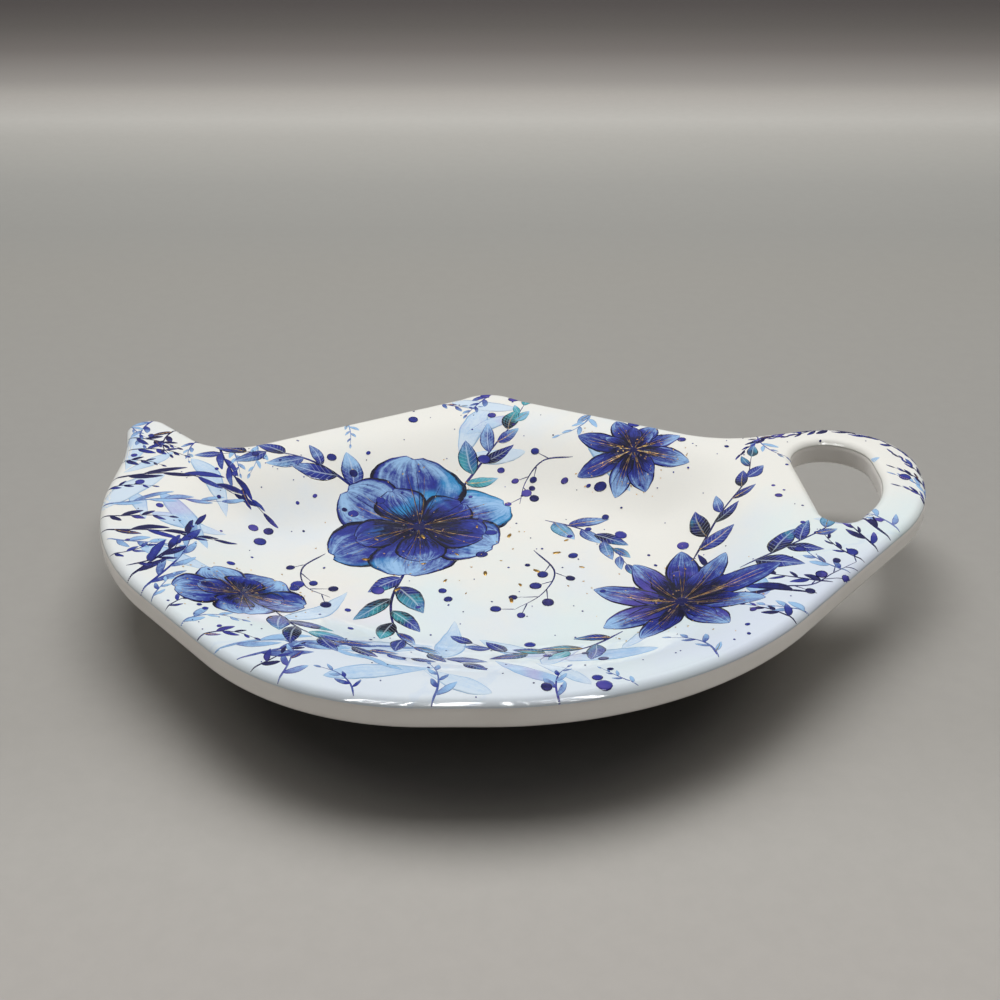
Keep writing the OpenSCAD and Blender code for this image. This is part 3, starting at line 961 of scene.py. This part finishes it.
# Sprigs that grow in from the edge: dark and dense by the spout and the handle, pale and few elsewhere
def edgeSprigs():
    walked = 0.0
    while walked < len(outline) * dish["pointGap"] - sprigs["gap"][0]:
        k = int(walked / dish["pointGap"])
        (x, y), inward = outline[k], inwards[k]
        onStrap, onSpout = k > strapFirst, x < -50 and y > 14
        dense = x < -32 or onStrap or (x > 36 and y < -4)
        walked += draw(*sprigs["gap" if dense else "sparse"]) * (1.4 if onSpout else 1)
        tall = dense and not onSpout and draw() < 0.45
        long = draw(*sprigs["strap" if onStrap else "tall" if tall else "low"])
        along = np.array([inward[1], -inward[0]])
        drift = 0.55 * math.sin(k * 0.085) + draw(-0.2, 0.2)
        lean = along * (1.0 if onStrap else drift) + inward * (0.35 if onStrap else 1)
        turn = math.atan2(lean[1], lean[0])
        curl = 0.3 * math.sin(k * 0.06 + 1) + draw(-0.12, 0.12)
        path = [outline[k] + draw(*sprigs["start"]) * inward]
        for _ in range(4):
            path.append(path[-1] + long / 4 * aimed(turn))
            turn += curl
        pale = not dense or draw() < 0.3
        tone = draw(0.5, 0.85) if pale else draw(0.0, 0.22)
        leafyStem(path, willowLook if tall else fernLook, tone, long / (16 if tall else 9))


edgeSprigs()

washes = {"count": 30, "inward": (2, 14), "long": (9, 16), "wide": (0.2, 0.34), "bend": 0.3, "tone": (0.5, 1)}
for _ in range(washes["count"]):
    k = seeded.integers(len(outline))
    at = outline[k] + inwards[k] * draw(*washes["inward"])
    turn = math.atan2(inwards[k][1], inwards[k][0]) + draw(-1.2, 1.2)
    long = draw(*washes["long"]) * (0.5 if at[0] > 36 else 1)
    wide, bend = long * draw(*washes["wide"]), draw(-washes["bend"], washes["bend"])
    stroke("pale", at, turn, long, wide, bend, draw(*washes["tone"]))

splash = {"count": 300, "least": 0.22, "most": 2.3, "tone": (0.15, 0.6)}
for _ in range(splash["count"]):
    k = seeded.integers(len(outline))
    at = wellAt + (outline[k] - wellAt) * math.sqrt(draw(0.0, 0.94))
    size = splash["least"] + (splash["most"] - splash["least"]) * draw() ** 5
    turn, wide = draw(0, 6), size * draw(0.75, 1)
    stroke("dot", at, turn, size, wide, 0, draw(*splash["tone"]))

# The flecks keep their places and sizes in the part, with finer dust between them
gold = {"count": 24, "field": 0.8, "size": 1.2, "width": 0.55, "dust": 170, "dustSize": (0.14, 0.36)}
for i in range(gold["count"]):
    turn = math.radians(137.5 * i)
    reach = math.sqrt((i + 0.5) / gold["count"]) * gold["field"]
    at = wellAt + reach * np.array(dish["levelFloor"]) * aimed(turn)
    size = gold["size"] * (i % 3 + 1) / 3
    stroke("fleck", at, turn, size, size * gold["width"])
for _ in range(gold["dust"]):
    at, radius, *_ = blossoms[seeded.integers(len(blossoms))]
    at = np.array(at) + radius * draw(0.5, 1.15) * aimed(draw(0, 2 * math.pi))
    size = draw(*gold["dustSize"])
    stroke("fleck", at, draw(0, 6), size, size * 0.8)
print("design set out:", {kind: len(found) for kind, found in strokes.items()}, len(stems), "stems")


def pointMesh(name, points, edges, values):
    mesh = bpy.data.meshes.new(name)
    mesh.from_pydata([(x * mm, y * mm, 0) for x, y in points], edges, [])
    for kind, found in values.items():
        mesh.attributes.new(kind, "FLOAT", "POINT").data.foreach_set("value", np.array(found, np.float32))
    return mesh


def strokePoints(kind):
    x, y, turn, long, wide, bend, tone, layer = np.array(strokes[kind]).T
    mesh = pointMesh(kind, zip(x, y), [], {"turn": turn, "bend": bend, "tone": tone, "layer": layer})
    size = np.c_[long * mm, wide * mm, np.ones(len(long))].astype(np.float32)
    mesh.attributes.new("size", "FLOAT_VECTOR", "POINT").data.foreach_set("vector", size.ravel())
    return mesh


def stemLines():
    points, edges, thick, tone = [], [], [], []
    for path, wide, shade in stems:
        edges += [(len(points) + i, len(points) + i + 1) for i in range(len(path) - 1)]
        points += list(path)
        thick += list(wide * mm * np.interp(np.linspace(0, 1, len(path)), [0, 0.12, 1], [0.3, 1, 0.2]))
        tone += [shade] * len(path)
    return pointMesh("stems", points, edges, {"thick": thick, "tone": tone})


# How each kind of stroke is printed, with its lift, gap between layers and ragged edge in millimetres
plainLook = {
    "deep": "navy", "middle": "cobalt", "pale": "sky", "accent": "violet",
    "fade": 0.0, "pool": 0.0, "tip": 0.0, "streaks": 0.0, "bloom": 0.5, "bloomScale": 260.0,
}
paleLeaves = {
    **plainLook, "paint": "palePaint", "deep": "sky", "middle": "sky", "pale": "ice", "accent": "lilac",
    "fade": 0.2, "pool": 0.35, "tip": 0.9, "streaks": 0.4, "bloom": 0.7, "bloomScale": 150.0,
    "lift": 0.008, "layerGap": 0.003, "ragged": 0.9, "raggedScale": 260.0,
}
edgeFronds = {
    **plainLook, "paint": "frondPaint", "fade": 0.28, "pool": 0.3, "streaks": 0.3, "bloom": 0.6,
    "lift": 0.015, "layerGap": 0.003, "ragged": 0.3, "raggedScale": 700.0,
}
leafSprays = {
    **plainLook, "paint": "leafPaint", "deep": "night", "accent": "teal",
    "fade": 0.42, "pool": 0.4, "tip": 0.8, "streaks": 0.7, "bloom": 0.9, "ribs": 9.0, "ribLight": 0.5,
    "lift": 0.020, "layerGap": 0.004, "ragged": 0.35, "raggedScale": 500.0,
}
blossomPetals = {
    **plainLook, "paint": "petalPaint", "deep": "night", "accent": "cyan",
    "fade": 0.68, "pool": 0.62, "tip": 1.0, "streaks": 1.1, "bloom": 0.85, "bloomScale": 230.0,
    "lift": 0.025, "layerGap": 0.019, "ragged": 0.9, "raggedScale": 330.0,
}
blossomRays = {**blossomPetals, "paint": "rayPaint", "accent": "violet", "ragged": 0.5}
inkLines = {
    **plainLook, "paint": "inkPaint", "deep": "night", "middle": "navy", "pale": "cobalt", "accent": "navy",
    "fade": 0.4, "bloom": 0.3, "lift": 0.047, "layerGap": 0.001, "ragged": 0.25, "raggedScale": 420.0,
}
splashDots = {
    **plainLook, "paint": "dotPaint", "pale": "violet", "pool": 0.3, "bloomScale": 500.0,
    "lift": 0.050, "layerGap": 0.001, "ragged": 0.12, "raggedScale": 900.0,
}
stemLook = {**plainLook, "paint": "stemPaint", "lift": 0.012, "step": 0.25}
gilding = {"lift": 0.052, "layerGap": 0.002, "ragged": 0.08, "raggedScale": 1400.0}
printed = [
    ("paleLeaves", "pale", bladeObject("paleBlade", 26, 8, 0.8, 0.9), paleLeaves),
    ("edgeFronds", "frond", bladeObject("leafletBlade", 14, 4, 0.9, 0.7), edgeFronds),
    ("leafSprays", "leaf", bladeObject("leafBlade", 18, 6, 0.8, 0.9), leafSprays),
    ("blossomPetals", "petal", bladeObject("petalBlade", 44, 32, 1.5, 0.62, 0.05), blossomPetals),
    ("blossomRays", "ray", bladeObject("rayBlade", 44, 18, 1.1, 0.75), blossomRays),
    ("inkLines", "ink", bladeObject("lineBlade", 22, 1, 0.5, 0.7), inkLines),
    ("splashDots", "dot", discObject("dotBlade", 12, 3), splashDots),
]


def laid(name, kind, blade, look, paint):
    settings = {
        "Blade": blade, "Face": facePrint, "Paint": paint, "Lift": look["lift"] * mm,
        "Layer Gap": look["layerGap"] * mm,
        "Ragged": look["ragged"] * mm, "Ragged Scale": look["raggedScale"],
    }
    piece = grown(name, strokePoints(kind), layOnFace, settings)
    bpy.data.objects.remove(blade)
    return piece


for name, kind, blade, look in printed:
    laid(name, kind, blade, look, paintMaterial(look))
drawing = {"Face": facePrint, "Paint": paintMaterial(stemLook)}
drawing.update({"Lift": stemLook["lift"] * mm, "Step": stemLook["step"] * mm})
grown("stemLines", stemLines(), drawStems, drawing)
goldPaint = goldMaterial()
goldFlecks = laid("goldFlecks", "fleck", discObject("fleckBlade", 7, 1, 0.35), gilding, goldPaint)
laid("goldVeins", "vein", bladeObject("veinBlade", 22, 1, 0.6, 0.6, beat=0.45), gilding, goldPaint)
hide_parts("gold_flecks")
print("print laid on the face")


# The table, in metres. Its paper's colour changes in bands from front to back, as the light on it does:
# painted light and shade. Under the dish a painted shadow darkens it.
table = {
    "size": 4.0,
    "shade": 0.15,  # how much of the paper's own colour is left in the painted shadow under the dish
    "under": ((-0.004, -0.004), (0.052, 0.055)),  # the middle and the half sizes of that painted shadow
    "soft": 0.66,  # where it starts to fade, as a share of those
    "roughness": 0.62, "sheen": 0.3, "fibres": (120, 118, 114),
    "near": -0.1, "far": 0.6,
    # painted light and shade: where each band stands from front to back, in metres, and its colour
    "bands": [
        (-0.071, 184, 180, 175), (-0.054, 182, 179, 174), (-0.03, 168, 165, 160), (0.05, 155, 153, 149),
        (0.144, 149, 147, 142), (0.178, 146, 145, 141), (0.218, 151, 150, 146), (0.27, 167, 165, 160),
        (0.292, 179, 177, 172), (0.326, 166, 162, 157), (0.348, 145, 141, 137), (0.402, 112, 107, 104),
        (0.45, 93, 89, 86), (0.5, 82, 77, 76),
    ],
}


def tableTop():
    half = table["size"] / 2
    mesh = bpy.data.meshes.new("tableTop")
    corners = [(x * half, y * half, 0) for x, y in ((-1, -1), (1, -1), (1, 1), (-1, 1))]
    mesh.from_pydata(corners, [], [(0, 1, 2, 3)])
    t, place = newMaterial("tablePaper")
    sides, near, far = t.axes(place), table["near"], table["far"]
    # Painted light and shade: the paper's colour ramps lighter and darker in bands from front to back
    shade = t.put("ShaderNodeValToRGB", {"Fac": t.ramped(sides["Y"], near, far, "LINEAR")})
    stops = shade.color_ramp.elements
    bands = [((y - near) / (far - near), tint(*colour)) for y, *colour in table["bands"]]
    for stop, (position, colour) in zip(stops, (bands[0], bands[-1])):
        stop.position, stop.color = position, colour
    for position, colour in bands[1:-1]:
        stops.new(position).color = colour
    weave = t.noise(place, 320, 5, 0.6)
    colour = t.mixed(t.times(t.ramped(weave, 0.3, 0.7), 0.05), out(shade), tint(*table["fibres"]))
    # A painted shadow: the paper is darkened towards black in an oval under the dish, fading out towards its
    # edge
    middle, halves = table["under"]
    across, up = (t.fused(sides[k], 1 / half, -at / half) for k, at, half in zip("XY", middle, halves))
    reach = t.sums("SQRT", t.fused(across, across, t.times(up, up)))
    under = t.times(t.ramped(reach, 1.0, table["soft"]), 1 - table["shade"])
    t.link(t.mixed(under, colour, tint(0, 0, 0)), t.shader["Base Color"])
    t.shader["Roughness"].default_value = table["roughness"]
    t.shader["Specular IOR Level"].default_value = table["sheen"]
    mesh.materials.append(t.material)
    newObject("tableTop", mesh)


def softLight(name, at, aim, across, up, power):
    lamp = bpy.data.lights.new(name, "AREA")
    lamp.shape, lamp.size, lamp.size_y, lamp.energy = "RECTANGLE", across, up, power
    made = newObject(name, lamp)
    made.location = at
    made.rotation_euler = (Vector(aim) - Vector(at)).to_track_quat("-Z", "Y").to_euler()
    return made


# The room: dim in front, brighter behind and above, and brightest on both sides. Gloss sees a softer sky.
room = {"colour": (200, 198, 194), "front": 0.17, "overhead": 0.4, "behind": 0.2, "sides": 0.85, "gloss": 0.7}


def roomLight():
    world = bpy.data.worlds.new("room")
    world.use_nodes = True
    t = Writer(world.node_tree)
    way = t.axes(out(t.put("ShaderNodeTexCoord"), "Generated"))
    back = t.ramped(way["Y"], -0.5, 0.7)
    high = t.ramped(way["Z"], 0.1, 0.8)
    low = t.fused(back, room["behind"] - room["front"], room["front"])
    upper = t.fused(back, room["behind"] - room["overhead"], room["overhead"])
    plain = t.fused(high, t.sums("SUBTRACT", upper, low), low)
    aside = t.ramped(t.times(way["X"], way["X"]), 0.2, 1.0)
    plain = t.fused(aside, room["sides"], plain)
    sheen = t.fused(t.times(back, high), room["gloss"], room["front"])
    seen = out(t.put("ShaderNodeLightPath"), "Is Glossy Ray")
    strength = t.fused(seen, t.sums("SUBTRACT", sheen, plain), plain)
    backdrop = t.tree.nodes["Background"].inputs
    backdrop["Color"].default_value = tint(*room["colour"])
    t.link(strength, backdrop["Strength"])
    bpy.context.scene.world = world


# Small lamps in front and above that only the gloss shows, as short glints on the front rim
glints = {
    "forward": -0.42, "high": 0.58, "long": 0.4, "power": 95.0,  # watts for each square metre
    "fan": 0.3,  # how far right each is aimed, as a share of how far right it is
    "spread": [  # how far right each is, and how wide
        (-0.3, 0.03), (-0.255, 0.006), (-0.22, 0.01), (-0.17, 0.016), (-0.105, 0.014), (-0.03, 0.02),
        (0.045, 0.012), (0.09, 0.005), (0.138, 0.005), (0.17, 0.005), (0.21, 0.008), (0.28, 0.04),
    ],
}

# The key lamp, behind and above, in metres and watts. The gloss doesn't show it.
key = {"at": (0.0, 0.285, 0.58), "aim": (0, 0, 0.01), "wide": 0.62, "deep": 0.4, "power": 4.3}

tableTop()
overhead = softLight("overheadLight", key["at"], key["aim"], key["wide"], key["deep"], key["power"])
overhead.visible_glossy = False
for i, (x, wide) in enumerate(glints["spread"]):
    above, power = (x, glints["forward"], glints["high"]), glints["power"] * wide * glints["long"]
    lamp = softLight("glint" + str(i), above, (glints["fan"] * x, 0, 0), wide, glints["long"], power)
    lamp.visible_diffuse = False
roomLight()
bpy.context.scene.view_settings.view_transform = "Standard"

view = {"field": 40, "pitch": 30, "at": (-2.2, -178.5, 121.9), "sensor": 36, "clip": (0.005, 20)}
lens = bpy.data.cameras.new("camera")
lens.sensor_width = view["sensor"]
lens.lens = view["sensor"] / 2 / math.tan(math.radians(view["field"] / 2))
lens.clip_start, lens.clip_end = view["clip"]
camera = newObject("camera", lens)
camera.location = [c * mm for c in view["at"]]
camera.rotation_euler = (math.radians(90 - view["pitch"]), 0, 0)
bpy.context.scene.camera = camera
print("table, light and camera set")
